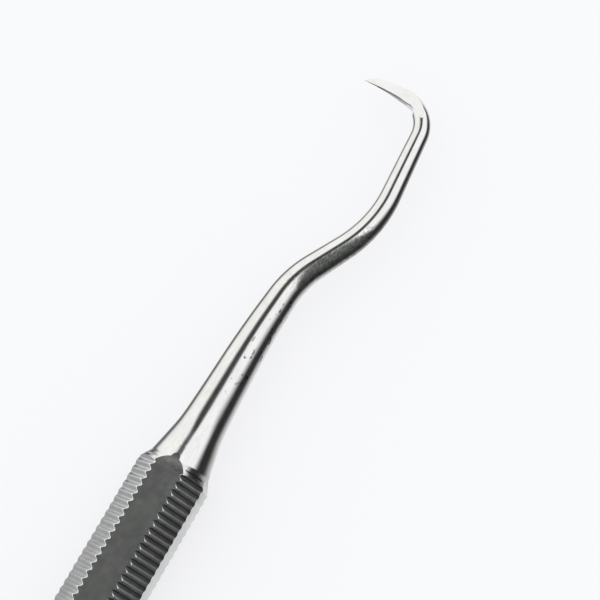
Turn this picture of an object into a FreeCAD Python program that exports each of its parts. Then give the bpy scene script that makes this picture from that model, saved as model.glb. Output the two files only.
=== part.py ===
"""Sharp hook retractor: an octagonal grip with ribbed faces, a turned neck, an S-bent tapering shank and a ground hook."""
import FreeCAD, Part
import math
import os

from FreeCAD import Placement, Rotation, Vector

# Grip: an octagonal bar. Smooth and ribbed faces alternate, and it lies on a smooth one.
grip_length = 125.0
smooth_across = 6.0
ribbed_across = 6.3
butt_chamfer = 0.6

# Ribs: straight grooves across each ribbed face, one of them on the shoulder's edge.
rib_pitch = 0.69
groove_depth = 0.21
groove_width = 0.44
lower_face_lag = 0.345
# The first groove of the two upper ribbed faces lies past the edge, narrow and deep to bite into the cone.
first_groove_place = 0.62
first_groove_width = 0.30
first_groove_depth = 0.38

# Shoulder: a turned cone, and a hollow run-out where each smooth face dies on the neck.
cone_half_angle = 31.0
cone_length = 1.1
runout_start = 0.04
runout_length = 1.6
runout_drop = 0.43
runout_end_angle = 4.6

# Neck and shank: radius against length along the centreline, measured from the shoulder's edge.
shank_radii = (
    (2.6, 2.36),
    (4.6, 1.99),
    (7.2, 1.80),
    (10.8, 1.62),
    (15.0, 1.43),
    (20.2, 1.23),
    (25.4, 1.08),
    (30.8, 0.93),
    (36.3, 0.82),
    (38.6, 0.76),
    (41.0, 0.65),
    (47.0, 0.62),
)

# Bends: corner points of the centreline from the shoulder's edge, each with its bending radius.
bends = (
    ((13.6, 0.0), 80.0),
    ((19.6, -0.42), 9.4),
    ((26.94, -4.27), 11.5),
    ((39.32, -3.40), 3.25),
)
blank_end = (39.15, 4.4)

# Hook blade: plan outline and side grinds, from the shoulder's edge and the grip's axis.
# The inner edge runs back from the tip as a long arc, then as a short hollow that dies on the bend.
tip = (39.02, 3.27)
tip_half_thickness = 0.02
inner_edge_middle = (38.84, 0.1)
inner_edge_start = (38.55, -1.4)
hollow_middle = (38.27, -1.97)
hollow_start = (37.7, -2.17)
back_start = (40.04, 0.6)
back_middle = (39.78, 2.1)
grind_slope_along = 0.10
grind_slope_across = 0.12

# Values that follow from the sizes above.
smooth_apothem = smooth_across / 2
ribbed_apothem = ribbed_across / 2
face_turn = 45.0
corner_radius = math.sqrt(
    smooth_apothem ** 2 + ribbed_apothem ** 2
    - 2 * smooth_apothem * ribbed_apothem * math.cos(math.radians(face_turn))
) / math.sin(math.radians(face_turn))
shoulder_x = grip_length / 2
butt_x = -grip_length / 2
axis_height = smooth_apothem
neck_radius = corner_radius - cone_length * math.tan(math.radians(cone_half_angle))
cutter_reach = 2 * corner_radius
ribbed_face_width = 2 * math.sqrt(corner_radius ** 2 - ribbed_apothem ** 2)
comb_width = ribbed_face_width + 3 * groove_depth
section_step = 0.75


def on_axis(s, offset=0.0, height=0.0):
    """Point at length s past the shoulder's edge, with a sideways and an upward offset from the grip's axis."""
    return Vector(shoulder_x + s, offset, axis_height + height)


def turn_about_axis(shape, angle):
    """Copy of a shape turned about the grip's axis."""
    turned = shape.copy()
    turned.rotate(on_axis(0), Vector(1, 0, 0), angle)
    return turned


def solid_from_profile(edges, width):
    """Solid of a closed profile in the upright plane through the axis, as wide as given and centred on it."""
    face = Part.Face(Part.Wire(edges))
    face.translate(Vector(0, -width / 2, 0))
    return face.extrude(Vector(0, width, 0))


def closed_lines(points):
    """Straight edges that join the points and close the loop."""
    return [
        Part.LineSegment(start, end).toShape()
        for start, end in zip(points, points[1:] + points[:1])
    ]


def turned_body():
    """The round envelope of grip, shoulder cone and butt chamfer."""
    profile = closed_lines([
        Vector(butt_x, 0, axis_height),
        Vector(butt_x, 0, axis_height + corner_radius - butt_chamfer),
        Vector(butt_x + butt_chamfer, 0, axis_height + corner_radius),
        on_axis(0, height=corner_radius),
        on_axis(cone_length, height=neck_radius),
        on_axis(cone_length),
    ])
    face = Part.Face(Part.Wire(profile))
    return face.revolve(on_axis(0), Vector(1, 0, 0), 360)


def smooth_face_cutter():
    """What lies above the upper smooth face, with the hollow run-out that dies on the neck."""
    start = on_axis(runout_start, height=smooth_apothem)
    end = on_axis(runout_start + runout_length, height=smooth_apothem - runout_drop)
    chord = end - start
    chord_angle = math.atan2(-chord.z, chord.x)
    turn = 2 * (chord_angle - math.radians(runout_end_angle))
    sag = chord.Length / 2 * math.tan(turn / 4)
    middle = (start + end) / 2 - Vector(math.sin(chord_angle), 0, math.cos(chord_angle)) * sag
    before_butt = butt_x - butt_chamfer
    top = axis_height + cutter_reach
    edges = [
        Part.LineSegment(Vector(before_butt, 0, start.z), start).toShape(),
        Part.Arc(start, middle, end).toShape(),
        Part.LineSegment(end, Vector(end.x, 0, top)).toShape(),
        Part.LineSegment(Vector(end.x, 0, top), Vector(before_butt, 0, top)).toShape(),
        Part.LineSegment(Vector(before_butt, 0, top), Vector(before_butt, 0, start.z)).toShape(),
    ]
    return solid_from_profile(edges, 2 * smooth_apothem)


def ribbed_face_cutter(lag):
    """What lies above a ribbed face, with a comb of V-shaped teeth that cut the grooves."""
    surface = axis_height + ribbed_apothem
    before_butt = butt_x - butt_chamfer
    past_shoulder = shoulder_x + cone_length
    if lag:
        grooves = [(shoulder_x + rib_pitch - lag, groove_width, groove_depth)]
    else:
        grooves = [(shoulder_x + first_groove_place, first_groove_width, first_groove_depth)]
    centre = shoulder_x - lag
    while centre > butt_x + butt_chamfer + groove_width:
        grooves.append((centre, groove_width, groove_depth))
        centre -= rib_pitch
    points = [Vector(past_shoulder, 0, surface)]
    for centre, width, depth in grooves:
        points.append(Vector(centre + width / 2, 0, surface))
        points.append(Vector(centre, 0, surface - depth))
        points.append(Vector(centre - width / 2, 0, surface))
    points.append(Vector(before_butt, 0, surface))
    points.append(Vector(before_butt, 0, axis_height + cutter_reach))
    points.append(Vector(past_shoulder, 0, axis_height + cutter_reach))
    return solid_from_profile(closed_lines(points), comb_width)


def smooth_cutters():
    """Cutters for the four smooth faces, turned to their places."""
    return [turn_about_axis(smooth_face_cutter(), 90.0 * quarter) for quarter in range(4)]


def ribbed_cutters():
    """Cutters for the four ribbed faces, turned to their places: the lower pair is half a pitch out of step."""
    lags = (0.0, lower_face_lag, lower_face_lag, 0.0)
    return [
        turn_about_axis(ribbed_face_cutter(lag), face_turn + 90.0 * quarter)
        for quarter, lag in enumerate(lags)
    ]


def shank_radius(length):
    """Radius of the blank at a length along the centreline: a smooth curve through the driving radii."""
    stations = ((cone_length, neck_radius),) + shank_radii
    slopes = []
    for index in range(len(stations)):
        before = stations[max(index - 1, 0)]
        after = stations[min(index + 1, len(stations) - 1)]
        slopes.append((after[1] - before[1]) / (after[0] - before[0]))
    for index in range(len(stations) - 1):
        (start, r_start), (end, r_end) = stations[index], stations[index + 1]
        if length <= end or index == len(stations) - 2:
            span = end - start
            u = min(max((length - start) / span, 0.0), 1.0)
            return (
                r_start * (1 + 2 * u) * (1 - u) ** 2
                + slopes[index] * span * u * (1 - u) ** 2
                + r_end * u ** 2 * (3 - 2 * u)
                - slopes[index + 1] * span * u ** 2 * (1 - u)
            )


def heading_between(start, end):
    """Direction in radians from one plan point to another."""
    return math.atan2(end[1] - start[1], end[0] - start[0])


def centreline_pieces():
    """Runs and tangent arcs of the centreline, each as its start, heading, length and turn."""
    corners = [(cone_length, 0.0)] + [point for point, radius in bends] + [blank_end]
    place = corners[0]
    heading = 0.0
    pieces = []
    for index, (corner, radius) in enumerate(bends):
        turn = heading_between(corner, corners[index + 2]) - heading
        run = math.dist(place, corner) - radius * math.tan(abs(turn) / 2)
        pieces.append((place, heading, run, 0.0))
        place = step_along(place, heading, run, 0.0)
        pieces.append((place, heading, radius * abs(turn), turn))
        place = step_along(place, heading, radius * abs(turn), turn)
        heading += turn
    pieces.append((place, heading, math.dist(place, blank_end), 0.0))
    return pieces


def step_along(place, heading, distance, turn):
    """Plan point reached from a place by a run, or by an arc that turns evenly by the given angle."""
    chord = distance if not turn else 2 * distance / turn * math.sin(turn / 2)
    direction = heading + turn / 2
    return (place[0] + chord * math.cos(direction), place[1] + chord * math.sin(direction))


def place_on(pieces, distance):
    """Plan point and heading at a distance along the pieces of the centreline."""
    for place, heading, length, turn in pieces:
        if distance <= length or place == pieces[-1][0]:
            part_turn = turn * distance / length
            return step_along(place, heading, distance, part_turn), heading + part_turn
        distance -= length


def bent_blank():
    """Neck and shank as one tapering round rod, bent along the centreline and left long at the hook."""
    pieces = centreline_pieces()
    whole = sum(length for place, heading, length, turn in pieces)
    count = round(whole / section_step)
    sections = []
    for index in range(count + 1):
        distance = whole * index / count
        centre, heading = place_on(pieces, distance)
        normal = Vector(math.cos(heading), math.sin(heading), 0)
        circle = Part.Circle(on_axis(*centre), normal, shank_radius(cone_length + distance))
        sections.append(Part.Wire(circle.toShape()))
    return Part.makeLoft(sections, True, False)


def plan_point(point):
    """A blade point on the floor of the plan prism."""
    return on_axis(point[0], point[1], -cutter_reach)


def blade_outline():
    """Prism that keeps the shank as it is and gives the blade its hollow inner edge and rounded back."""
    margin = 2 * corner_radius
    far_side = (back_start[0], -margin)
    near_side = (cone_length - 1, -margin)
    inner_side = (cone_length - 1, margin)
    # The blank's inner side stays whole up to the start of the hollow.
    inner_corner = (hollow_start[0], margin)
    edges = [
        Part.Arc(plan_point(tip), plan_point(inner_edge_middle), plan_point(inner_edge_start)).toShape(),
        Part.Arc(plan_point(inner_edge_start), plan_point(hollow_middle), plan_point(hollow_start)).toShape(),
        Part.LineSegment(plan_point(hollow_start), plan_point(inner_corner)).toShape(),
        Part.LineSegment(plan_point(inner_corner), plan_point(inner_side)).toShape(),
        Part.LineSegment(plan_point(inner_side), plan_point(near_side)).toShape(),
        Part.LineSegment(plan_point(near_side), plan_point(far_side)).toShape(),
        Part.LineSegment(plan_point(far_side), plan_point(back_start)).toShape(),
        Part.Arc(plan_point(back_start), plan_point(back_middle), plan_point(tip)).toShape(),
    ]
    return Part.Face(Part.Wire(edges)).extrude(Vector(0, 0, 2 * cutter_reach))


def side_grind(side):
    """What is ground off one flat side of the blade: 1 is the upper side and -1 the lower one."""
    size = 4 * corner_radius
    block = Part.makeBox(size, size, size, Vector(-size / 2, -size / 2, 0))
    normal = Vector(grind_slope_across, grind_slope_along, 1)
    block.Placement = Placement(Vector(0, 0, 0), Rotation(Vector(0, 0, 1), normal))
    block.translate(Vector(0, 0, tip_half_thickness))
    if side < 0:
        block = block.mirror(Vector(0, 0, 0), Vector(0, 0, 1))
    block.translate(on_axis(tip[0], tip[1]))
    return block


def shank_with_hook():
    """The bent blank with its end ground to a flat-sided, pointed hook."""
    shank = bent_blank().common(blade_outline())
    for side in (1, -1):
        shank = shank.cut(side_grind(side))
    return shank


def hook_retractor():
    """The whole instrument as one solid."""
    round_stock = turned_body().fuse(shank_with_hook())
    return round_stock.cut(smooth_cutters()).cut(ribbed_cutters())


os.makedirs("parts", exist_ok=True)
retractor = hook_retractor()
box = retractor.BoundBox
print(f"hook_retractor: {len(retractor.Solids)} solid, {len(retractor.Faces)} faces, valid {retractor.isValid()}")
print(f"volume {retractor.Volume:.1f} mm3, X {box.XMin:.2f} to {box.XMax:.2f}, "
      f"Y {box.YMin:.2f} to {box.YMax:.2f}, Z {box.ZMin:.2f} to {box.ZMax:.2f}")
retractor.exportStep("parts/hook_retractor.step")
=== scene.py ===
"""Sharp hook retractor: the dressed steel instrument, its floor, its studio and its camera."""

import logging
import math
from collections.abc import Callable
from dataclasses import dataclass, field
from enum import Enum

import bmesh
import bpy
from mathutils import Matrix, Vector

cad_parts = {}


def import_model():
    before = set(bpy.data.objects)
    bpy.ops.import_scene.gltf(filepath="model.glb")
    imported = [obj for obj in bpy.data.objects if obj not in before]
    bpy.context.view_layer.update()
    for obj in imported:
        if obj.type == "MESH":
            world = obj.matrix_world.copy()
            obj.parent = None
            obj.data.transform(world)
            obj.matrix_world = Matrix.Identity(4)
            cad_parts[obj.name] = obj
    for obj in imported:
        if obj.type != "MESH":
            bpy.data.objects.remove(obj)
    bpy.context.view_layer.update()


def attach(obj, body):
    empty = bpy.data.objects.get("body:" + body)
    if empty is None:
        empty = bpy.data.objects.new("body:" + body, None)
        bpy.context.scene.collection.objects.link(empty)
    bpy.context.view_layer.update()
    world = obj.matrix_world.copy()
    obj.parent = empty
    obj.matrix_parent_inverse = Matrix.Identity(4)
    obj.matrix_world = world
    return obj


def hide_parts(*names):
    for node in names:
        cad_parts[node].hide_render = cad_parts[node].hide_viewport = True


logging.basicConfig(level=logging.INFO, format="%(name)s: %(message)s")
LOG = logging.getLogger("hook_retractor")

Pair = tuple[float, float]
Triple = tuple[float, float, float]
Element = bmesh.types.BMVert | bmesh.types.BMEdge | bmesh.types.BMFace
Socket = bpy.types.NodeSocket
Sockets = bpy.types.NodeOutputs

MM = 0.001
MERGE = 1e-8
FACE_TURN = math.radians(45)
BODY = "root"
CAD_NODE = "hook_retractor"
LAGGING_FACES = (3, 5)
GROOVED_FIRST_FACES = (1, 7)
# The one ribbed face whose grooves get no painted shade and keep the ridges' finish.
UNSHADED_GROOVED_FACE = 7
PITTED_STRETCH = (70.0, 73.0, 80.0, 83.0)
PITTED_SIDE = (-0.15, -0.4)
GRAINY_STRETCH = (80.5, 83.0, 89.0, 91.5)
GRAINY_RUN_TURN = 27.67
GRAINY_SIDE = (37.95, 37.6)
# Along X, the stretch past the shoulder's edge over which the smooth faces' colour darkens as painted shade.
PAINTED_SHADE_X = (62.5, 63.4)


class Region(Enum):
    """Places on the instrument that differ in finish; the value is the material index on the piece."""

    SMOOTH_FACE = 0
    RIDGE = 1
    # Dark finish that stands for shade: painted shade in the sunk grooves, at the corners' groove ends and on
    # a strip of the hook's inner edge.
    PAINTED_SHADE = 2
    ROUND = 3
    GROUND = 4
    # Rounded corners: their glints are real reflections, and their brighter finish adds a painted highlight.
    CORNER = 5


def share_of(value: float, low: float, high: float) -> float:
    """How far a value has come from one number to another, from 0 to 1."""
    return min(max((value - low) / (high - low), 0.0), 1.0)


def ease(value: float, low: float, high: float) -> float:
    """Share of the way from one number to another, with a soft start and a soft end."""
    share = share_of(value, low, high)
    return share * share * (3 - 2 * share)


def corner_offset(height: float, other: float) -> float:
    """Distance across a face from its middle to the next one, both given by their height over the axis."""
    return (other - height * math.cos(FACE_TURN)) / math.sin(FACE_TURN)


def kept_in(point: Vector, radius: float, always: bool = False) -> Vector:
    """Point of a ring, brought onto the round stock where it lies outside it, or always if asked."""
    return point.normalized() * radius if always or point.length > radius else point


def with_borders(faces: list[bmesh.types.BMFace]) -> list[Element]:
    """Faces with their edges and vertices, each of them once."""
    return list({item for face in faces for item in (*face.verts, *face.edges, face)})


def placed_mesh(name: str, bm: bmesh.types.BMesh, *materials: bpy.types.Material) -> bpy.types.Object:
    """Puts a mesh into the scene.

    Args:
        name: Name of the object and of its mesh.
        bm: The mesh in metres; it is freed.
        *materials: Its materials in the order of their indices.

    Returns:
        The object.
    """
    mesh = bpy.data.meshes.new(name)
    for material in materials:
        mesh.materials.append(material)
    bm.to_mesh(mesh)
    bm.free()
    thing = bpy.data.objects.new(name, mesh)
    bpy.context.scene.collection.objects.link(thing)
    return thing


@dataclass(frozen=True)
class Bend:
    """One bend of the shank: a corner point in plan, in mm from the shoulder's edge, and its radius."""

    corner: Pair
    radius: float


@dataclass
class Grip:
    """The octagonal bar: smooth and ribbed faces by turns, with the shoulder cone. Sizes in mm."""

    length: float = 125.0
    smooth_height: float = 3.0
    ribbed_height: float = 3.15
    butt_chamfer: float = 0.6
    butt_land: float = 0.44
    butt_ring_gap: float = 0.05
    rib_pitch: float = 0.69
    groove_depth: float = 0.21
    groove_width: float = 0.64
    sunk_share: float = 0.42
    lower_lag: float = 0.345
    first_groove_place: float = 0.62
    first_groove_width: float = 0.34
    first_groove_depth: float = 0.38
    rings_per_pitch: int = 8
    cone_angle: float = 31.0
    cone_length: float = 1.1
    runout_start: float = 0.04
    runout_length: float = 1.6
    runout_drop: float = 0.43
    runout_end_angle: float = 4.6
    corner_round: float = 0.065
    face_columns: int = 4
    corner_columns: int = 3
    narrowest_face: float = 1.5
    widening_range: Pair = (1.5, 3.5)
    groove_columns_angle: float = 12.0
    groove_columns_range: Pair = (0.325, 0.45)

    @property
    def corner_radius(self) -> float:
        """Radius of the round stock that the faces are cut on."""
        return math.hypot(self.smooth_height, corner_offset(self.smooth_height, self.ribbed_height))

    @property
    def neck_radius(self) -> float:
        """Radius at the foot of the shoulder cone."""
        return self.corner_radius - self.cone_length * math.tan(math.radians(self.cone_angle))

    @property
    def columns(self) -> int:
        """Vertices in one ring round the instrument."""
        return 8 * (self.face_columns + self.corner_columns)

    def lag(self, face: int) -> float:
        """How far a face's grooves lie behind those of the upper faces, in mm."""
        return self.lower_lag if face in LAGGING_FACES else 0.0

    def round_limit(self, s: float) -> float:
        """Radius of the turned stock at a station of the grip or the cone.

        Args:
            s: Length past the shoulder's edge, in mm; negative on the grip.

        Returns:
            The radius in mm.
        """
        from_butt = s + self.length
        if from_butt < self.butt_chamfer:
            return self.corner_radius - self.butt_chamfer + from_butt
        if s <= 0:
            return self.corner_radius
        return self.corner_radius - min(s, self.cone_length) * math.tan(math.radians(self.cone_angle))

    @staticmethod
    def tooth(away: float, width: float, depth: float) -> float:
        """Depth that a rounded groove of a given width and depth cuts away from its middle, all in mm."""
        share = min(abs(away) / (width / 2), 1.0)
        return depth * (1 - share * share) ** 2

    def groove(self, s: float, lag: float) -> float:
        """Depth of a ribbed face's grooves at a station.

        Args:
            s: Length past the shoulder's edge, in mm.
            lag: How far the face's grooves lie behind the others, in mm.

        Returns:
            The depth below the ridges in mm.
        """
        if lag:
            first = self.tooth(s + lag - self.rib_pitch, self.groove_width, self.groove_depth)
        else:
            first = self.tooth(s - self.first_groove_place, self.first_groove_width, self.first_groove_depth)
        centre = min(round((s + lag) / self.rib_pitch), 0) * self.rib_pitch - lag
        if centre < self.butt_chamfer + self.butt_land - self.length:
            return first
        return max(first, self.tooth(s - centre, self.groove_width, self.groove_depth))

    def smooth_height_at(self, s: float) -> float:
        """Height of a smooth face over the axis, along its flat and its hollow run-out.

        Args:
            s: Length past the shoulder's edge, in mm.

        Returns:
            The height in mm.
        """
        if s <= self.runout_start:
            return self.smooth_height
        chord_angle = math.atan2(self.runout_drop, self.runout_length)
        end_angle = math.radians(self.runout_end_angle)
        start_angle = 2 * chord_angle - end_angle
        span = math.hypot(self.runout_drop, self.runout_length)
        radius = span / (2 * math.sin((start_angle - end_angle) / 2))
        along = min(s - self.runout_start, self.runout_length)
        angle = math.asin(math.sin(start_angle) - along / radius)
        return self.smooth_height - radius * (math.cos(angle) - math.cos(start_angle))

    def stations(self) -> list[float]:
        """Stations of the rings from the butt to the shoulder's edge."""
        start, chamfer = -self.length, self.butt_chamfer
        count = round(self.length / self.rib_pitch * self.rings_per_pitch)
        places = [-index * self.rib_pitch / self.rings_per_pitch for index in range(count)]
        places = [place for place in places if place > start + chamfer + self.butt_ring_gap]
        return sorted(places + [start + chamfer, start + chamfer / 2, start])


@dataclass
class Shank:
    """Neck and shank: a tapering round rod bent along a plan line. Sizes in mm from the shoulder's edge."""

    start: float = 1.1
    radii: tuple[Pair, ...] = (
        (2.6, 2.36), (4.6, 1.99), (7.2, 1.80), (10.8, 1.62), (15.0, 1.43), (20.2, 1.23),
        (25.4, 1.08), (30.8, 0.93), (36.3, 0.82), (38.6, 0.76), (41.0, 0.65), (47.0, 0.62),
    )
    bends: tuple[Bend, ...] = (
        Bend((13.6, 0.0), 80.0),
        Bend((19.6, -0.42), 9.4),
        Bend((26.94, -4.27), 11.5),
        Bend((39.32, -3.40), 3.25),
    )
    end: Pair = (39.15, 4.4)
    ring_step: float = 0.24

    def radius(self, length: float, neck_radius: float) -> float:
        """Radius at a length along the centreline: a smooth curve through the driving radii.

        Args:
            length: Length along the centreline from the shoulder's edge, in mm.
            neck_radius: Radius at the foot of the cone, in mm.

        Returns:
            The radius in mm.
        """
        points = ((self.start, neck_radius),) + self.radii
        last = len(points) - 1
        slopes = []
        for index in range(len(points)):
            before, after = points[max(index - 1, 0)], points[min(index + 1, last)]
            slopes.append((after[1] - before[1]) / (after[0] - before[0]))
        index = 0
        while index < last - 1 and length > points[index + 1][0]:
            index += 1
        (a, r_a), (b, r_b) = points[index], points[index + 1]
        span = b - a
        u = share_of(length, a, b)
        rise = slopes[index] * span * u * (1 - u) ** 2 - slopes[index + 1] * span * u ** 2 * (1 - u)
        return r_a * (1 + 2 * u) * (1 - u) ** 2 + r_b * u ** 2 * (3 - 2 * u) + rise

    @staticmethod
    def step(place: Pair, heading: float, distance: float, turn: float) -> Pair:
        """Plan point reached from a place by a run, or by an arc that turns evenly.

        Args:
            place: Start in plan, in mm.
            heading: Direction at the start, in radians.
            distance: Length of the run or arc, in mm.
            turn: Angle that the arc turns through, in radians; 0 is a run.

        Returns:
            The end in plan, in mm.
        """
        chord = distance if not turn else 2 * distance / turn * math.sin(turn / 2)
        direction = heading + turn / 2
        return (place[0] + chord * math.cos(direction), place[1] + chord * math.sin(direction))

    def pieces(self) -> list[tuple[Pair, float, float, float]]:
        """Runs and tangent arcs of the centreline, each as start, heading, length and turn."""
        corners = [(self.start, 0.0)] + [bend.corner for bend in self.bends] + [self.end]
        place, heading, found = corners[0], 0.0, []
        for index, bend in enumerate(self.bends):
            after = corners[index + 2]
            turn = math.atan2(after[1] - bend.corner[1], after[0] - bend.corner[0]) - heading
            run = math.dist(place, bend.corner) - bend.radius * math.tan(abs(turn) / 2)
            for length, bent in ((run, 0.0), (bend.radius * abs(turn), turn)):
                found.append((place, heading, length, bent))
                place = self.step(place, heading, length, bent)
            heading += turn
        found.append((place, heading, math.dist(place, self.end), 0.0))
        return found

    def place(self, distance: float) -> tuple[Pair, float]:
        """Plan point and heading at a distance along the centreline from the foot of the cone.

        Args:
            distance: Distance in mm.

        Returns:
            The point in mm and the heading in radians.
        """
        *bent_ones, last = self.pieces()
        for place, heading, length, turn in bent_ones:
            if distance <= length:
                bent = turn * distance / length
                return self.step(place, heading, distance, bent), heading + bent
            distance -= length
        place, heading, _length, _turn = last
        return self.step(place, heading, distance, 0.0), heading

    def whole(self) -> float:
        """Length of the whole centreline in mm."""
        return sum(length for _place, _heading, length, _turn in self.pieces())


@dataclass
class Hook:
    """The ground end: a hollow inner edge, a rounded back and two flat sides that meet at the point.

    Places are in mm from the shoulder's edge on the axis. The values named match and tilt are limits on the
    parts of a face's normal.
    """

    tip: Pair = (39.02, 3.27)
    tip_half_thickness: float = 0.02
    inner_middle: Pair = (38.84, 0.1)
    inner_start: Pair = (38.55, -1.4)
    hollow_middle: Pair = (38.27, -1.97)
    hollow_start: Pair = (37.7, -2.17)
    back_start: Pair = (40.04, 0.6)
    back_middle: Pair = (39.78, 2.1)
    slope_along: float = 0.091
    slope_across: float = 0.12
    # Depth and span of the strip of painted shade on the inner edge.
    strip_depth: float = 0.3
    strip_range: Pair = (-2.2, 1.9)
    reach: float = 2.6
    run_past: float = 0.5
    cutter_steps: int = 48
    grind_start: float = 35.0
    blade_start: float = 36.0
    flat_match: float = 0.99999
    upright_match: float = 0.004
    wall_tilt: float = 0.3
    rounded_tilt: float = 0.5

    def side_normal(self, side: int) -> Vector:
        """Outward normal of a ground side: 1 is the upper one and -1 the lower one."""
        return Vector((self.slope_across, self.slope_along, side)).normalized()

    def side_place(self, side: int, shift: Vector) -> Vector:
        """Place of a ground side at the hook's point, in metres; the shift leads to the row frame, in mm."""
        return (shift + Vector((*self.tip, side * self.tip_half_thickness))) * MM

    @staticmethod
    def arc_centre(a: Vector, b: Vector, c: Vector) -> Vector:
        """Centre of the circle through three plan points.

        Args:
            a: First point.
            b: Second point.
            c: Third point.

        Returns:
            The centre, at height 0.
        """
        ab, ac = b - a, c - a
        cross = 2 * (ab.x * ac.y - ab.y * ac.x)
        x = (ac.y * ab.length_squared - ab.y * ac.length_squared) / cross
        y = (ab.x * ac.length_squared - ac.x * ab.length_squared) / cross
        return Vector((a.x + x, a.y + y, 0))

    def edge_cutter(
        self, name: str, points: tuple[Pair, Pair, Pair], extra: float, outward: float, shift: Vector
    ) -> bpy.types.Object:
        """Closed cutter whose near wall is the arc through three plan points.

        Args:
            name: Name of the scratch object.
            points: Start, middle and end of the arc, in mm.
            extra: How far past its end the wall goes on, as a share of the arc.
            outward: How far along X the cutter reaches away from its wall, in mm.
            shift: From the shoulder's edge on the axis to the row frame, in mm.

        Returns:
            The cutter, in metres.
        """
        start, middle, end = (Vector((*point, 0)) for point in points)
        centre = self.arc_centre(start, middle, end)
        turn = -(start - centre).xy.angle_signed((end - centre).xy)
        bm = bmesh.new()
        low = bm.verts.new(start + Vector((0, 0, -self.reach)))
        high = bm.verts.new(start + Vector((0, 0, self.reach)))
        wall = bm.edges.new((low, high))
        bmesh.ops.spin(
            bm,
            geom=[low, high, wall],
            cent=centre,
            axis=(0, 0, 1),
            angle=turn * (1 + extra),
            steps=self.cutter_steps,
            use_duplicate=False,
        )
        grown = bmesh.ops.extrude_face_region(bm, geom=bm.faces[:])["geom"]
        moved = [item for item in grown if isinstance(item, bmesh.types.BMVert)]
        bmesh.ops.translate(bm, verts=moved, vec=(outward, 0, 0))
        bmesh.ops.recalc_face_normals(bm, faces=bm.faces[:])
        bmesh.ops.translate(bm, verts=bm.verts[:], vec=shift)
        bmesh.ops.scale(bm, verts=bm.verts[:], vec=(MM, MM, MM))
        return placed_mesh(name, bm)

    def cutters(self, shift: Vector) -> list[bpy.types.Object]:
        """Cutters of the inner edge, of the hollow that leads into it and of the back.

        Args:
            shift: From the shoulder's edge on the axis to the row frame, in mm.

        Returns:
            The cutters.
        """
        inner = (self.inner_start, self.inner_middle, self.tip)
        hollow = (self.hollow_start, self.hollow_middle, self.inner_start)
        back = (self.back_start, self.back_middle, self.tip)
        return [
            self.edge_cutter("inner_cutter", inner, self.run_past, -self.reach, shift),
            self.edge_cutter("hollow_cutter", hollow, 0.0, -self.reach, shift),
            self.edge_cutter("back_cutter", back, self.run_past, self.reach, shift),
        ]


@dataclass(frozen=True)
class FaceCut:
    """One of the eight long faces at a station: its directions, height and half width on each side."""

    index: int
    height: float
    before: float
    after: float

    @property
    def normal(self) -> Vector:
        """The face's outward normal."""
        angle = self.index * FACE_TURN
        return Vector((0, -math.sin(angle), math.cos(angle)))

    @property
    def across(self) -> Vector:
        """Direction across the face, towards the next one."""
        angle = self.index * FACE_TURN
        return Vector((0, -math.cos(angle), -math.sin(angle)))

    def border(self, side: int, round_radius: float, least: float) -> Vector:
        """Point where the face ends, or where its columns go on along the round once it has died out.

        Args:
            side: -1 for the side before the face and 1 for the side after it.
            round_radius: Radius of the turned stock, in mm.
            least: Smallest half angle that the face's columns keep, in radians.

        Returns:
            The offset from the axis in mm.
        """
        low = min(self.height, round_radius)
        wide = max(self.after if side > 0 else self.before, low * math.tan(least))
        return kept_in(self.normal * low + self.across * (side * wide), round_radius)


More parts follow.
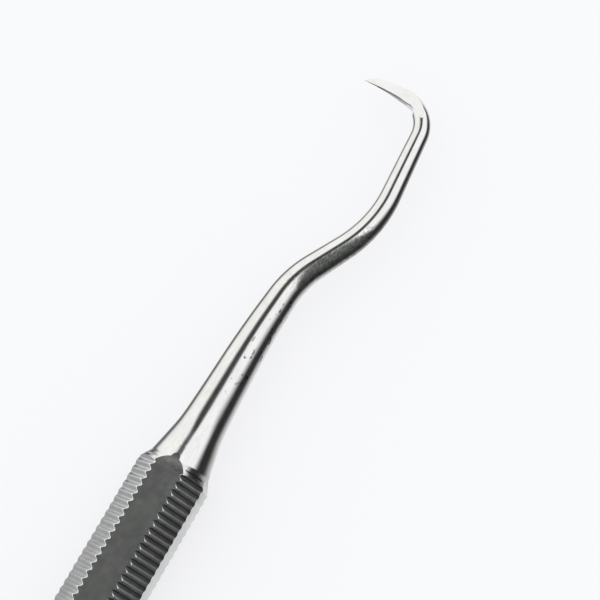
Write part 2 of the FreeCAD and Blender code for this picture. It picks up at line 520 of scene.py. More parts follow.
@dataclass
class Retractor:
    """The whole instrument as one closed skin, from the butt to the point. Sizes in mm, angles in degrees."""

    grip: Grip = field(default_factory=Grip)
    shank: Shank = field(default_factory=Shank)
    hook: Hook = field(default_factory=Hook)
    shoulder_step: float = 0.025
    shoulder_rings_end: float = 1.2
    arris_share: float = 1.02
    foot_slope: float = -0.3
    foot_blend: float = 0.15
    slope_step: float = 0.02
    turned_end: float = 2.4
    turned_match: float = 0.01
    border_angle: float = 0.5
    runout_angle: float = 60.0
    rib_angle: float = 80.0
    sharp_angle: float = 24.0
    marks: list[float] = field(default_factory=list)

    @property
    def shift(self) -> Vector:
        """From the shoulder's edge on the axis to the row frame, in mm."""
        return Vector((self.grip.length / 2, 0, self.grip.smooth_height))

    def stock_radius(self, s: float) -> float:
        """Radius of the turned stock in mm at a length past the shoulder's edge."""
        if s < self.grip.cone_length:
            return self.grip.round_limit(s)
        return self.shank.radius(s, self.grip.neck_radius)

    def half_width(self, round_radius: float, height: float, other: float) -> float:
        """Half width of a face up to its rounded corner or to the cone.

        Args:
            round_radius: Radius of the turned stock, in mm.
            height: The face's height over the axis, in mm.
            other: Height of the face beside it, in mm.

        Returns:
            The half width in mm; 0 where the face has died out.
        """
        if height >= round_radius:
            return 0.0
        on_round = math.sqrt(round_radius ** 2 - height ** 2)
        return max(min(corner_offset(height, other) - self.grip.corner_round, on_round), 0.0)

    def faces_at(self, s: float) -> list[FaceCut]:
        """The eight long faces at a station.

        Args:
            s: Length past the shoulder's edge, in mm.

        Returns:
            The faces, from the upper smooth one by way of the side towards -Y.
        """
        grip = self.grip
        radius = self.stock_radius(s)
        heights = []
        for index in range(8):
            ribbed = grip.ribbed_height - grip.groove(s, grip.lag(index))
            heights.append(ribbed if index % 2 else grip.smooth_height_at(s))
        return [
            FaceCut(
                index,
                height,
                self.half_width(radius, height, heights[index - 1]),
                self.half_width(radius, height, heights[(index + 1) % 8]),
            )
            for index, height in enumerate(heights)
        ]

    def least_angle(self, s: float, face: int) -> float:
        """Smallest half angle that a face's columns keep, so that they end up evenly spread on the neck.

        Args:
            s: Length past the shoulder's edge, in mm.
            face: The face's number.

        Returns:
            The angle in radians.
        """
        grip = self.grip
        narrowest = math.radians(grip.narrowest_face)
        even = math.radians(360 / grip.columns) * (grip.face_columns - 1) / 2
        least = narrowest + (even - narrowest) * ease(s, *grip.widening_range)
        if face in GROOVED_FIRST_FACES:
            by_groove = math.radians(grip.groove_columns_angle)
            least = max(least, by_groove * share_of(s, *grip.groove_columns_range))
        return least

    def section(self, s: float) -> list[Vector]:
        """Ring of the grip, the shoulder or the neck as offsets from the axis.

        Args:
            s: Length past the shoulder's edge, in mm.

        Returns:
            Offsets in mm, from the upper smooth face round by way of the side towards -Y.
        """
        grip = self.grip
        radius = self.stock_radius(s)
        faces = self.faces_at(s)
        ring = []
        for face in faces:
            following = faces[(face.index + 1) % 8]
            least = self.least_angle(s, face.index)
            first = face.border(-1, radius, least)
            last = face.border(1, radius, least)
            onward = following.border(-1, radius, self.least_angle(s, following.index))
            dead = face.height >= radius
            control = face.normal * face.height + face.across * corner_offset(face.height, following.height)
            on_round = dead or following.height >= radius or control.length > radius * self.arris_share
            if on_round:
                control = (last + onward).normalized() * radius
            for column in range(grip.face_columns):
                point = first.lerp(last, column / (grip.face_columns - 1))
                ring.append(kept_in(point, radius, dead))
            for column in range(grip.corner_columns):
                u = (column + 1) / (grip.corner_columns + 1)
                point = last * (1 - u) ** 2 + control * (2 * u * (1 - u)) + onward * u ** 2
                ring.append(kept_in(point, radius, on_round))
        return ring

    def rings(self) -> list[list[Vector]]:
        """All rings from the butt to the far end of the blank, in the row frame in mm."""
        grip, shank, step = self.grip, self.shank, self.shoulder_step
        places = grip.stations()
        places += [step * index for index in range(1, round(grip.cone_length / step))]
        self.marks = list(places)
        found = []
        for s in places:
            found.append([Vector((s, point.y, point.z)) + self.shift for point in self.section(s)])
        whole = shank.whole()
        fine = [step * index for index in range(round(self.shoulder_rings_end / step))]
        coarse = round((whole - fine[-1]) / shank.ring_step)
        distances = fine + [fine[-1] + (whole - fine[-1]) * index / coarse for index in range(1, coarse + 1)]
        for distance in distances:
            centre, heading = shank.place(distance)
            self.marks.append(grip.cone_length + distance)
            turn = Matrix.Rotation(heading, 3, "Z")
            ring = self.section(grip.cone_length + distance)
            found.append([turn @ point + Vector((*centre, 0)) + self.shift for point in ring])
        return found

    def skin(self) -> bmesh.types.BMesh:
        """Closed skin of the blank in metres, with each face's region marked."""
        rings = self.rings()
        columns = self.grip.columns
        bm = bmesh.new()
        bmesh.ops.create_grid(bm, x_segments=columns, y_segments=len(rings) - 1, size=0.5)
        bm.verts.ensure_lookup_table()
        seam = {}
        for index, vert in enumerate(bm.verts):
            ring, column = divmod(index, columns + 1)
            vert.co = rings[ring][column % columns] * MM
            if column == columns:
                seam[vert] = bm.verts[ring * (columns + 1)]
        bm.faces.ensure_lookup_table()
        for index, face in enumerate(bm.faces):
            ring, column = divmod(index, columns)
            face.material_index = self.region(ring, column).value
        bmesh.ops.weld_verts(bm, targetmap=seam)
        ends = [edge for edge in bm.edges if edge.is_boundary]
        bmesh.ops.holes_fill(bm, edges=ends, sides=0)
        for face in bm.faces:
            if len(face.verts) > 4:
                face.material_index = Region.ROUND.value
        bmesh.ops.recalc_face_normals(bm, faces=bm.faces[:])
        return bm

    def region(self, ring: int, column: int) -> Region:
        """Finish of the skin between two rings and two columns.

        Args:
            ring: Number of the ring nearer the butt.
            column: Number of the column.

        Returns:
            The region.
        """
        grip = self.grip
        s = (self.marks[ring] + self.marks[ring + 1]) / 2
        if s > grip.runout_start + grip.runout_length:
            return Region.ROUND
        octant, strip = divmod(column, grip.face_columns + grip.corner_columns)
        on_face = strip < grip.face_columns - 1
        ribbed = octant if octant % 2 else (octant + 1) % 8
        # Deep enough parts of the grooves get the dark finish as painted shade, on every ribbed face but one.
        sunk = grip.groove(s, grip.lag(ribbed)) > grip.sunk_share * grip.groove_depth
        dark = sunk and ribbed != UNSHADED_GROOVED_FACE
        if not on_face:
            if s > 0:
                return Region.ROUND
            # Corner strips at the grooves get the painted shade too.
            return Region.PAINTED_SHADE if dark else Region.CORNER
        if self.faces_at(s)[octant].height >= self.stock_radius(s):
            return Region.ROUND
        if octant % 2 == 0:
            return Region.SMOOTH_FACE
        return Region.PAINTED_SHADE if dark else Region.RIDGE

    def grind_sides(self, bm: bmesh.types.BMesh) -> None:
        """Grinds both flat sides of the hook.

        Args:
            bm: The skin, changed in place.
        """
        start = (self.shift.x + self.hook.grind_start) * MM
        for side in (1, -1):
            near = [face for face in bm.faces if face.calc_center_median().x > start]
            cut = bmesh.ops.bisect_plane(
                bm,
                geom=with_borders(near),
                plane_co=self.hook.side_place(side, self.shift),
                plane_no=self.hook.side_normal(side),
                dist=MERGE,
                clear_outer=True,
            )["geom_cut"]
            edges = [item for item in cut if isinstance(item, bmesh.types.BMEdge)]
            bmesh.ops.edgeloop_fill(bm, edges=edges)

    def cut_edges(self, piece: bpy.types.Object) -> None:
        """Cuts the hollow inner edge and the rounded back of the hook.

        Args:
            piece: The instrument, whose mesh is replaced.
        """
        cutters = self.hook.cutters(self.shift)
        for cutter in cutters:
            trim = piece.modifiers.new(cutter.name, "BOOLEAN")
            trim.operation = "DIFFERENCE"
            trim.solver = "EXACT"
            trim.object = cutter
        graph = bpy.context.evaluated_depsgraph_get()
        mesh = bpy.data.meshes.new_from_object(piece.evaluated_get(graph))
        piece.modifiers.clear()
        piece.data = mesh
        for cutter in cutters:
            bpy.data.objects.remove(cutter)

    def from_shoulder(self, face: bmesh.types.BMFace) -> Vector:
        """Middle of a face in mm from the shoulder's edge on the axis."""
        return face.calc_center_median() / MM - self.shift

    def is_ground(self, face: bmesh.types.BMFace) -> bool:
        """Whether a face was ground on the hook: the flat sides, the inner edge and the back."""
        if self.from_shoulder(face).x < self.hook.blade_start:
            return False
        flat = max(face.normal.dot(self.hook.side_normal(side)) for side in (1, -1))
        upright = abs(face.normal.z) < self.hook.upright_match and face.material_index != Region.ROUND.value
        return flat > self.hook.flat_match or upright

    def paint_edge_shade(self, bm: bmesh.types.BMesh) -> None:
        """Paints a strip of painted shade on the hook's inner edge, just below its upper ground side.

        Args:
            bm: The finished skin, in metres, changed in place.
        """
        hook = self.hook
        upper = hook.side_normal(1)
        place = hook.side_place(1, self.shift) - upper * (hook.strip_depth * MM)
        low, high = hook.strip_range
        wall = []
        for face in bm.faces:
            middle = self.from_shoulder(face)
            facing = face.normal.x < -hook.wall_tilt and abs(face.normal.z) < hook.wall_tilt
            if middle.x > hook.blade_start and low < middle.y < high and facing:
                wall.append(face)
        cut = bmesh.ops.bisect_plane(bm, geom=with_borders(wall), plane_co=place, plane_no=upper, dist=MERGE)
        for face in cut["geom"]:
            if isinstance(face, bmesh.types.BMFace) and (face.calc_center_median() - place).dot(upper) > 0:
                # The strip gets the dark finish, painted shade.
                face.material_index = Region.PAINTED_SHADE.value

    def turned_normal(self, place: Vector) -> Vector:
        """Outward normal of the turned cone or neck, with the foot of the cone blended into the neck.

        Args:
            place: A place on it, in mm from the shoulder's edge on the axis.

        Returns:
            The normal.
        """
        foot, step = self.grip.cone_length, self.slope_step
        cone = -math.tan(math.radians(self.grip.cone_angle))
        neck = self.foot_slope
        if place.x > foot + step:
            neck = (self.stock_radius(place.x + step) - self.stock_radius(place.x - step)) / (2 * step)
        share = ease(place.x, foot - self.foot_blend, foot + self.foot_blend)
        radial = Vector((0, place.y, place.z)).normalized()
        return (radial - Vector((cone * (1 - share) + neck * share, 0, 0))).normalized()

    def polish_shoulder(self, mesh: bpy.types.Mesh) -> None:
        """Gives the turned shoulder its true normals, however narrow the faces on it are.

        Args:
            mesh: The instrument's mesh, in metres.
        """
        normals = [Vector(corner.vector) for corner in mesh.corner_normals]
        for face in mesh.polygons:
            if face.material_index != Region.ROUND.value:
                continue
            places = [mesh.vertices[index].co / MM - self.shift for index in face.vertices]
            if min(place.x for place in places) <= 0 or max(place.x for place in places) > self.turned_end:
                continue
            for corner, place in zip(face.loop_indices, places):
                if abs(place.yz.length - self.stock_radius(place.x)) < self.turned_match:
                    normals[corner] = self.turned_normal(place)
        mesh.normals_split_custom_set(normals)

    def crease_angle(self, regions: set[int]) -> float:
        """Smallest angle in degrees at which an edge between regions stays crisp.

        Args:
            regions: Material indices of the faces that meet at the edge.

        Returns:
            The angle.
        """
        flats = {Region.GROUND.value, Region.SMOOTH_FACE.value}
        groove_on_cone = {Region.PAINTED_SHADE.value, Region.ROUND.value}
        if len(regions) == 2 and (regions & flats or regions == groove_on_cone):
            return self.border_angle
        if regions == {Region.SMOOTH_FACE.value}:
            return self.runout_angle
        if Region.PAINTED_SHADE.value in regions or regions == {Region.RIDGE.value}:
            return self.rib_angle
        return self.sharp_angle

    def build(self) -> bpy.types.Object:
        """Makes the instrument's object with its regions marked and its edges kept crisp."""
        bm = self.skin()
        self.grind_sides(bm)
        piece = placed_mesh("polished_retractor", bm, *(FINISHES[region].build() for region in Region))
        self.cut_edges(piece)
        bm = bmesh.new()
        bm.from_mesh(piece.data)
        bmesh.ops.remove_doubles(bm, verts=bm.verts[:], dist=MERGE)
        ground = Region.GROUND.value
        for face in bm.faces:
            if self.is_ground(face):
                face.material_index = ground
            face.smooth = face.material_index != ground or abs(face.normal.z) < self.hook.rounded_tilt
        self.paint_edge_shade(bm)
        for edge in bm.edges:
            pair = {face.material_index for face in edge.link_faces}
            edge.smooth = edge.calc_face_angle(0.0) < math.radians(self.crease_angle(pair))
        bm.to_mesh(piece.data)
        bm.free()
        self.polish_shoulder(piece.data)
        return piece


@dataclass
class Nodes:
    """Short calls for wiring one material's nodes."""

    tree: bpy.types.NodeTree

    def feed(self, node: bpy.types.Node, feeds: dict[str | int, object]) -> None:
        """Sets a node's inputs.

        Args:
            node: The node.
            feeds: What goes into each input, by its name or number: another node's socket or a plain value.
        """
        for place, value in feeds.items():
            if isinstance(value, Socket):
                self.tree.links.new(value, node.inputs[place])
            else:
                node.inputs[place].default_value = value

    def add(self, kind: str, feeds: dict[str | int, object] | None = None, **settings: str | bool) -> Sockets:
        """Adds a node.

        Args:
            kind: The node's type name.
            feeds: What goes into its inputs.
            **settings: Its properties.

        Returns:
            Its outputs.
        """
        node = self.tree.nodes.new(kind)
        for name, value in settings.items():
            setattr(node, name, value)
        self.feed(node, feeds or {})
        return node.outputs

    def placed(self, scale: Triple = (1.0, 1.0, 1.0), turn: Triple = (0.0, 0.0, 0.0)) -> Socket:
        """Object coordinates in millimetres, stretched and turned.

        Args:
            scale: How often the pattern repeats per millimetre along each axis.
            turn: Turn of the pattern in degrees.

        Returns:
            The vector socket.
        """
        feeds = {
            "Vector": self.add("ShaderNodeTexCoord")["Object"],
            "Rotation": [math.radians(angle) for angle in turn],
            "Scale": [value / MM for value in scale],
        }
        return self.add("ShaderNodeMapping", feeds)["Vector"]

    def coordinate(self, axis: str, turn: float = 0.0) -> Socket:
        """One Object coordinate in millimetres, after a turn about Z in degrees."""
        return self.add("ShaderNodeSeparateXYZ", {"Vector": self.placed(turn=(0.0, 0.0, turn))})[axis]

    def noise(self, vector: Socket, detail: float, roughness: float) -> Socket:
        """Noise of as many octaves as the detail says, the finer ones as strong as the roughness says."""
        feeds = {"Vector": vector, "Scale": 1.0, "Detail": detail, "Roughness": roughness}
        return self.add("ShaderNodeTexNoise", feeds)["Fac"]

    def ramp(self, value: Socket, stops: list[tuple[float, Triple]]) -> Socket:
        """Colour ramp on a value.

        Args:
            value: The driving socket.
            stops: Places and colours.

        Returns:
            The colour socket.
        """
        node = self.tree.nodes.new("ShaderNodeValToRGB")
        elements = node.color_ramp.elements
        while len(elements) < len(stops):
            elements.new(0.5)
        for element, (place, colour) in zip(elements, stops):
            element.position = place
            element.color = (*colour, 1.0)
        self.feed(node, {"Fac": value})
        return node.outputs["Color"]

    def range(self, value: Socket, source: Pair, target: Pair = (0.0, 1.0), curve: str = "LINEAR") -> Socket:
        """Maps a value's range onto another one.

        Args:
            value: The driving socket.
            source: Lowest and highest value taken.
            target: What they become.
            curve: How it goes from one to the other.

        Returns:
            The value socket.
        """
        feeds = dict(zip(("Value", "From Min", "From Max", "To Min", "To Max"), (value, *source, *target)))
        return self.add("ShaderNodeMapRange", feeds, interpolation_type=curve)["Result"]

    def stretch(self, value: Socket, places: tuple[float, float, float, float]) -> Socket:
        """Rises from 0 to 1 between the first two places and falls back between the last two."""
        return self.times(self.range(value, places[:2]), self.range(value, places[2:], (1.0, 0.0)))

    def calculate(self, operation: str, first: Socket, second: Socket | float) -> Socket:
        """Result of a Math operation on two values, kept between 0 and 1."""
        return self.add("ShaderNodeMath", {0: first, 1: second}, operation=operation, use_clamp=True)[0]

    def times(self, first: Socket, second: Socket | float) -> Socket:
        """Product of two values."""
        return self.calculate("MULTIPLY", first, second)

    def blend(self, mode: str, factor: Socket | float, first: Socket, second: Socket | tuple) -> Socket:
        """Mixes two colours by a blend mode: as much of the second one as the factor says."""
        feeds = {"Factor": factor, 6: first, 7: second}
        return self.add("ShaderNodeMix", feeds, data_type="RGBA", blend_type=mode)[2]

    def mix(self, factor: Socket | float, first: Socket, second: Socket) -> Socket:
        """Mixes two shaders: as much of the second one as the factor says."""
        return self.add("ShaderNodeMixShader", {0: factor, 1: first, 2: second})[0]

    def emission(self, colour: Socket | tuple, strength: float) -> Socket:
        """A glow."""
        return self.add("ShaderNodeEmission", {"Color": colour, "Strength": strength})[0]


def stage_material(name: str, shade: Callable[[Nodes], Socket]) -> bpy.types.Material:
    """Makes a material of the stage.

    Args:
        name: Its name.
        shade: Wires its nodes and gives the shader's socket.

    Returns:
        The material.
    """
    material = bpy.data.materials.new(name)
    material.use_nodes = True
    material.node_tree.nodes.clear()
    nodes = Nodes(material.node_tree)
    nodes.add("ShaderNodeOutputMaterial", {"Surface": shade(nodes)})
    return material


@dataclass(frozen=True)
class SteelFinish:
    """A finish of the same stainless steel: its brightness, roughness, scratches and marks. Some finishes
    carry painted shade or a painted highlight in their brightness.
    """

    name: str
    colour: Triple
    dark_colour: Triple
    roughness: Pair
    scratch_scale: Triple
    scratch_turn: Triple = (0.0, 0.0, 0.0)
    scratch_height: float = 0.15
    scratch_depth: float = 0.02
    streak_share: float = 0.6
    pit_share: float = 0.0
    pit_edge: float = 0.05
    pit_colour: Triple = (0.22, 0.21, 0.22)
    tint: float = 0.0
    # How dark the smooth faces' run-out is painted past the shoulder: painted shade.
    painted_shoulder_shade: float = 1.0

    def tinted(self, nodes: Nodes, base: Socket) -> Socket:
        """Adds faint clouds of green and rose.

        Args:
            nodes: The finish's nodes.
            base: The colour so far.

        Returns:
            The colour.
        """
        hue = nodes.noise(nodes.placed((1.7, 1.7, 1.7), (17, 31, 5)), 3.0, 0.6)
        shades = nodes.ramp(hue, [(0.38, (0.93, 1.0, 0.95)), (0.5, (1, 1, 1)), (0.62, (1.0, 0.93, 0.99))])
        return nodes.blend("MULTIPLY", self.tint, base, shades)

    def worn(self, nodes: Nodes, base: Socket) -> Socket:
        """Adds a few dark pits on one side of the neck and fine grain on one side of the bent run.

        Args:
            nodes: The finish's nodes.
            base: The colour so far.

        Returns:
            The colour.
        """
        along = nodes.coordinate("X")
        pits = nodes.noise(nodes.placed((1.7, 2.9, 2.9), (11, 47, 23)), 1.0, 0.5)
        spots = nodes.range(pits, (1 - self.pit_share - self.pit_edge, 1 - self.pit_share))
        spots = nodes.times(spots, nodes.stretch(along, PITTED_STRETCH))
        spots = nodes.times(spots, nodes.range(nodes.coordinate("Y"), PITTED_SIDE))
        base = nodes.blend("MIX", spots, base, (*self.pit_colour, 1.0))
        side = nodes.range(nodes.coordinate("Y", GRAINY_RUN_TURN), GRAINY_SIDE)
        grain = nodes.noise(nodes.placed((3.0, 7.0, 7.0), (31, 5, 61)), 3.0, 0.7)
        grain = nodes.range(grain, (0.36, 0.64), (0.55, 1.4))
        return nodes.blend("MULTIPLY", nodes.times(side, nodes.stretch(along, GRAINY_STRETCH)), base, grain)

    def build(self) -> bpy.types.Material:
        """Makes the finish as a node material."""
        material = bpy.data.materials.new(self.name)
        material.use_nodes = True
        nodes = Nodes(material.node_tree)
        cloud = nodes.noise(nodes.placed((0.55, 0.55, 0.55)), 4.0, 0.6)
        base = nodes.ramp(cloud, [(0.35, self.dark_colour), (0.65, self.colour)])
        if self.tint > 0:
            base = self.tinted(nodes, base)
        scratches = nodes.noise(nodes.placed(self.scratch_scale, self.scratch_turn), 5.0, 0.65)
        streaks = nodes.ramp(scratches, [(0.4, (0.9, 0.9, 0.9)), (0.6, (1, 1, 1))])
        base = nodes.blend("MULTIPLY", self.streak_share, base, streaks)
        if self.pit_share > 0:
            base = self.worn(nodes, base)
        # Painted shade: the colour darkens along X past the shoulder's edge.
        if self.painted_shoulder_shade < 1:
            shade = nodes.range(nodes.coordinate("X"), PAINTED_SHADE_X, (1.0, self.painted_shoulder_shade))
            base = nodes.blend("MULTIPLY", 1.0, base, shade)
        wear = nodes.noise(nodes.placed((1.3, 1.3, 1.3), (5, 12, 40)), 4.0, 0.6)
        bump = {"Strength": self.scratch_height, "Distance": self.scratch_depth * MM, "Height": scratches}
        feeds = {
            "Metallic": 1.0,
            "Base Color": base,
            "Roughness": nodes.range(wear, (0.3, 0.7), self.roughness),
            "Normal": nodes.add("ShaderNodeBump", bump)["Normal"],
        }
        nodes.feed(material.node_tree.nodes["Principled BSDF"], feeds)
        return material


FINISHES = {
    # Its run-out past the shoulder is darkened with painted shade.
    Region.SMOOTH_FACE: SteelFinish(
        "satin_face_steel", (0.67, 0.68, 0.67), (0.57, 0.58, 0.57), (0.18, 0.24), (0.5, 4.0, 4.0),
        scratch_height=0.12, tint=1.0, painted_shoulder_shade=0.66,
    ),
    Region.RIDGE: SteelFinish(
        "ridge_steel", (0.66, 0.67, 0.67), (0.56, 0.57, 0.57), (0.26, 0.34), (6.0, 1.2, 1.2), tint=0.8,
    ),
    # Its dark colour is painted shade, not a darker steel.
    Region.PAINTED_SHADE: SteelFinish(
        "painted_shade_steel", (0.24, 0.245, 0.25), (0.16, 0.165, 0.17), (0.28, 0.38), (6.0, 1.2, 1.2), tint=0.8,
    ),
    Region.ROUND: SteelFinish(
        "polished_steel", (0.66, 0.66, 0.65), (0.61, 0.615, 0.605), (0.09, 0.14), (1.2, 5.0, 5.0),
        scratch_height=0.12, pit_share=0.31,
    ),
    Region.GROUND: SteelFinish(
        "ground_steel", (0.68, 0.68, 0.68), (0.64, 0.64, 0.64), (0.06, 0.09), (14.0, 1.0, 1.0), (0, 0, 20),
        scratch_height=0.05,
    ),
    # Brighter than the other steel: a painted highlight added to the corners' real glints.
    Region.CORNER: SteelFinish(
        "corner_painted_highlight_steel", (0.74, 0.74, 0.74), (0.68, 0.68, 0.68), (0.10, 0.16), (5.0, 5.0, 5.0),
        scratch_height=0.1,
    ),
}


def stage_card(name: str, bm: bmesh.types.BMesh, shade: Callable[[Nodes], Socket]) -> bpy.types.Object:
    """Makes a studio card that only reflections see.

    Args:
        name: The card's name.
        bm: Its mesh in metres; it is freed.
        shade: Wires its glow.

    Returns:
        The card.
    """
    card = placed_mesh(name, bm, stage_material(name, shade))
    card.visible_camera = False
    card.visible_diffuse = False
    card.visible_shadow = False
    return card


@dataclass
class Card:
    """A soft-edged studio card, bent about the grip's line and seen only in the polish.

    Its outline is a row of stations. Each gives how far along X the card lies, as a share of its distance,
    and the angles between which it spans there, from straight up and towards -Y, in degrees.
    """

    name: str
    outline: tuple[Triple, ...]
    glow: float
    tone: Triple = (1.0, 1.0, 1.0)
    angle_fade: Pair = (0.0, 0.0)
    length_fade: Pair = (0.0, 0.0)
    distance: float = 1.5
    middle: Pair = (0.08, 0.003)
    columns: int = 8
    rows: int = 16

    def bent(self, along: float, across: float) -> Vector:
        """Place of a point of the card.

        Args:
            along: Share of the row of stations, from 0 to 1.
            across: Share of the span between the angles, from 0 to 1.

        Returns:
            The point in metres.
        """
        spans = len(self.outline) - 1
        index = min(int(along * spans), spans - 1)
        share = along * spans - index
        before, after = self.outline[index], self.outline[index + 1]
        reach, first, last = (a + (b - a) * share for a, b in zip(before, after))
        angle = math.radians(first + (last - first) * across)
        (x, z), far = self.middle, self.distance
        return Vector((x + reach * far, -math.sin(angle) * far, z + math.cos(angle) * far))

    def shade(self, nodes: Nodes) -> Socket:
        """Wires the card's glow, faded out towards its edges.

        Args:
            nodes: The card's nodes.

        Returns:
            The shader.
        """
        place = nodes.add("ShaderNodeSeparateXYZ", {"Vector": nodes.add("ShaderNodeUVMap")["UV"]})
        shown = 1.0
        for axis, fades in (("X", self.length_fade), ("Y", self.angle_fade)):
            for border, inner in ((0.0, fades[0]), (1.0, 1.0 - fades[1])):
                if border != inner:
                    fade = nodes.range(place[axis], (border, inner), curve="SMOOTHSTEP")
                    shown = nodes.times(fade, shown)
        clear = nodes.add("ShaderNodeBsdfTransparent")[0]
        return nodes.mix(shown, clear, nodes.emission((*self.tone, 1.0), self.glow))

    def build(self) -> bpy.types.Object:
        """Makes the card."""
        bm = bmesh.new()
        bm.loops.layers.uv.new("place")
        columns = self.columns * (len(self.outline) - 1)
        bmesh.ops.create_grid(bm, x_segments=columns, y_segments=self.rows, size=0.5, calc_uvs=True)
        for vert in bm.verts:
            vert.co = self.bent(vert.co.x + 0.5, vert.co.y + 0.5)
        return stage_card(self.name, bm, self.shade)


@dataclass
class FloorCard:
    """A flat card that lies beside the instrument and is seen only in the polish.

    Its glow changes with the distance from the grip's line: each stop gives a distance in mm and the glow
    there. Its range along X starts from the shoulder's edge, about which it is turned too.
    """

    name: str
    side: int
    x_range: Pair
    stops: tuple[Pair, ...]
    far: float = 1500.0
    lift: float = 0.1
    shoulder: float = 62.5
    turn: float = 0.0
    brightest: float = 1.5

    def shade(self, nodes: Nodes) -> Socket:
        """Wires the card's glow by distance.

        Args:
            nodes: The card's nodes.

        Returns:
            The shader.
        """
        first, last = self.stops[0][0], self.stops[-1][0]
        away = nodes.range(nodes.coordinate("Y"), (self.side * first, self.side * last))
        shades = []
        for distance, glow in self.stops:
            shades.append(((distance - first) / (last - first), (glow / self.brightest,) * 3))
        return nodes.emission(nodes.ramp(away, shades), self.brightest)

    def build(self) -> bpy.types.Object:
        """Makes the card."""
        bm = bmesh.new()
        bmesh.ops.create_grid(bm, x_segments=1, y_segments=1, size=0.5)
        low, high = self.x_range
        near = self.stops[0][0]
        bmesh.ops.scale(bm, verts=bm.verts[:], vec=((high - low) * MM, (self.far - near) * MM, 1.0))
        middle = Vector(((low + high) / 2, self.side * (self.far + near) / 2, self.lift))
        bmesh.ops.translate(bm, verts=bm.verts[:], vec=middle * MM)
        card = stage_card(self.name, bm, self.shade)
        card.location.x = self.shoulder * MM
        card.rotation_euler.z = math.radians(self.turn)
        return card


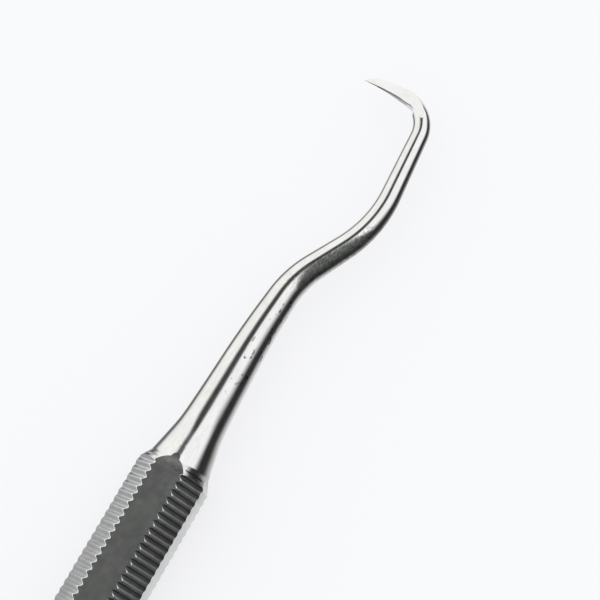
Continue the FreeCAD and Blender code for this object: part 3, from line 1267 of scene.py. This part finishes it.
@dataclass
class Studio:
    """Pale floor, plain pale surroundings and the cards that a polished thing is shot between."""

    pale: Triple = (0.936, 0.953, 0.970)
    floor_size: float = 8.0
    floor_colour: Triple = (0.93, 0.93, 0.95)
    glow: Triple = (0.985, 0.985, 1.0)
    glow_share: float = 0.72
    cards: tuple[Card | FloorCard, ...] = (
        Card("wide_panel", ((-2.6, -96, 88), (2.6, -96, 88)), 1.4, (0.995, 1.0, 0.975), (0.02, 0.0)),
        Card(
            "cool_panel", ((-2.6, -10, 89), (2.6, -10, 89)), 1.44, (0.995, 0.985, 1.0), (0.1, 0.0),
            distance=1.48,
        ),
        Card(
            "dark_gap",
            ((-2.6, -46, 8), (0.3, -46, 8), (0.45, -37, 5), (0.66, -27, 0)),
            0.07, angle_fade=(0.4, 0.28), length_fade=(0.0, 0.2), distance=1.46,
        ),
        Card(
            "faint_gap",
            ((0.5, -27, 1), (0.6, -26, 0), (0.82, -24, 2)),
            0.26, angle_fade=(0.3, 0.3), length_fade=(0.2, 0.0), distance=1.465,
        ),
        Card(
            "far_gap",
            ((0.74, -24, 2), (0.84, -28, 3), (1.2, -46, -2), (2.6, -54, -4)),
            0.05, angle_fade=(0.15, 0.25), length_fade=(0.04, 0.0), distance=1.462,
        ),
        Card(
            "dim_back",
            ((-2.6, -14, 88), (0.09, -14, 88), (0.14, -14, 40), (0.2, -14, 17), (0.27, -14, 3)),
            0.17, (0.95, 1.02, 0.96), (0.1, 0.2), distance=1.43,
        ),
        Card(
            "dark_flag",
            (
                (-6.0, 38, 91), (0.1, 32, 91), (0.2, 32, 91), (0.3, 42, 91), (0.42, 54, 91),
                (0.6, 60, 91), (0.9, 60, 91), (1.1, 48, 91), (6.0, 48, 91),
            ),
            0.036, angle_fade=(0.85, 0.0), distance=1.4,
        ),
        FloorCard(
            "dark_floor_by_grip", -1, (-1500, -0.5),
            ((3.6, 0.84), (4.7, 0.8), (5.6, 0.2), (6.4, 0.06), (9.0, 0.035)),
        ),
        FloorCard(
            "dark_floor_by_shank", -1, (-0.5, 1500),
            ((3.6, 0.7), (4.8, 0.62), (6, 0.42), (7.4, 0.22), (9, 0.11), (12, 0.05), (20, 0.036)),
            turn=-2.0,
        ),
        FloorCard(
            "grey_floor_by_grip", 1, (-1500, -0.5),
            ((3.6, 0.46), (9.0, 0.46), (14.0, 0.5), (20.0, 0.6)),
        ),
        FloorCard(
            "shaded_floor_by_shank", 1, (-0.5, 1500),
            (
                (2.6, 0.66), (4.4, 0.58), (5.7, 0.34), (7.4, 0.14),
                (9.0, 0.17), (12.0, 0.5), (17.0, 0.9), (26.0, 1.3),
            ),
            turn=-4.0,
        ),
    )

    def surroundings(self) -> None:
        """Lights the scene evenly from all round."""
        world = bpy.data.worlds.new("pale_surroundings")
        world.use_nodes = True
        sky = world.node_tree.nodes["Background"]
        sky.inputs["Color"].default_value = (*self.pale, 1.0)
        sky.inputs["Strength"].default_value = 1.0
        bpy.context.scene.world = world

    def floor_shade(self, nodes: Nodes) -> Socket:
        """Wires the floor: matt, so that it takes the shadow, with a pale glow for what the camera sees.

        Args:
            nodes: The floor's nodes.

        Returns:
            The shader.
        """
        matt = nodes.add("ShaderNodeBsdfDiffuse", {"Color": (*self.floor_colour, 1.0)})[0]
        path = nodes.add("ShaderNodeLightPath")
        seen = nodes.calculate("ADD", path["Is Camera Ray"], path["Is Glossy Ray"])
        seen = nodes.calculate("ADD", seen, path["Is Transmission Ray"])
        return nodes.mix(nodes.times(seen, self.glow_share), matt, nodes.emission((*self.glow, 1.0), 1.0))

    def floor(self) -> None:
        """Makes the floor."""
        bm = bmesh.new()
        bmesh.ops.create_grid(bm, x_segments=4, y_segments=4, size=self.floor_size / 2)
        placed_mesh("floor", bm, stage_material("pale_floor", self.floor_shade))

    def build(self) -> None:
        """Sets up surroundings, floor and cards."""
        self.surroundings()
        self.floor()
        for card in self.cards:
            card.build()


@dataclass
class PhotoCamera:
    """The photograph's camera, close above the instrument and looking down on it. Sizes in mm and pixels."""

    frame_width: float = 600.0
    sensor: float = 36.0
    focal_pixels: float = 1472.4
    towards_camera: Triple = (-0.26387, -0.22026, 0.93907)
    turn: float = 59.82
    depth: float = 120.0
    anchor: Triple = (62.62, 0.0, 3.0)
    anchor_pixel: Pair = (173.8, 475.7)
    clip: Pair = (5.0, 20000.0)

    def build(self) -> None:
        """Makes the camera and sets it as the scene's."""
        back = Vector(self.towards_camera).normalized()
        along = (Vector((1, 0, 0)) - back * back.x).normalized()
        across = along.cross(back)
        turn = math.radians(self.turn)
        right = along * math.cos(turn) + across * math.sin(turn)
        up = along * math.sin(turn) - across * math.cos(turn)
        centre = self.frame_width / 2
        off_right = (self.anchor_pixel[0] - centre) * self.depth / self.focal_pixels
        off_up = (centre - self.anchor_pixel[1]) * self.depth / self.focal_pixels
        place = Vector(self.anchor) + back * self.depth - right * off_right - up * off_up
        data = bpy.data.cameras.new("photo_camera")
        data.sensor_width = self.sensor
        data.lens = self.focal_pixels / self.frame_width * self.sensor
        data.clip_start, data.clip_end = (distance * MM for distance in self.clip)
        camera = bpy.data.objects.new("photo_camera", data)
        basis = Matrix((right, up, back)).transposed().to_4x4()
        camera.matrix_world = Matrix.Translation(place * MM) @ basis
        bpy.context.scene.collection.objects.link(camera)
        bpy.context.scene.camera = camera


def main() -> None:
    """Builds the instrument, its studio and its camera."""
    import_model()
    bpy.context.scene.view_settings.view_transform = "Standard"
    PhotoCamera().build()
    Studio().build()
    piece = Retractor().build()
    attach(piece, BODY)
    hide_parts(CAD_NODE)
    LOG.info("%s: %d faces", piece.name, len(piece.data.polygons))


if __name__ == "__main__":
    main()
